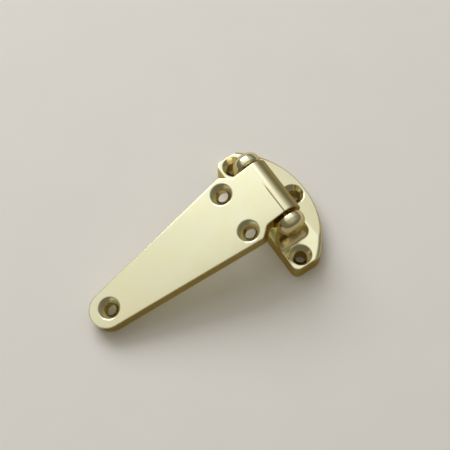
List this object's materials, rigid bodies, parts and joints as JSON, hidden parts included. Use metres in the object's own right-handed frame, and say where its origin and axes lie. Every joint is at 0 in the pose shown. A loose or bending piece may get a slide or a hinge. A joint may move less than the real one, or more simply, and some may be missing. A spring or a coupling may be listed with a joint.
{
  "type": "icebox hinge",
  "caption": "Offset icebox hinge in polished cast brass: a half-moon frame leaf with two tall ears carries a tapered strap leaf on a hidden pin.",
  "frame": {"origin": "on the back face of the frame leaf, straight below the hinge pin, on the mirror plane", "axes": "+Y along the pin, +X from the strap's tip towards the leaf's arc, +Z out of the leaf's back face towards the pin"},
  "size_m": [0.0909, 0.051, 0.0261],
  "materials": {
    "frame_leaf": "polished",
    "strap_leaf": "polished",
    "hinge_pin": "turned"
  },
  "bodies": {
    "frame": {"frame_leaf": "frame_leaf", "hinge_pin": "hinge_pin"},
    "strap": {"strap_leaf": "strap_leaf"}
  },
  "joints": [
    {"name": "strap_swing", "type": "hinge", "parent": "frame", "child": "strap", "pos_m": [0, 0, 0.0202], "axis": [0, 1, 0], "range_deg": [-35, 211]}
  ]
}
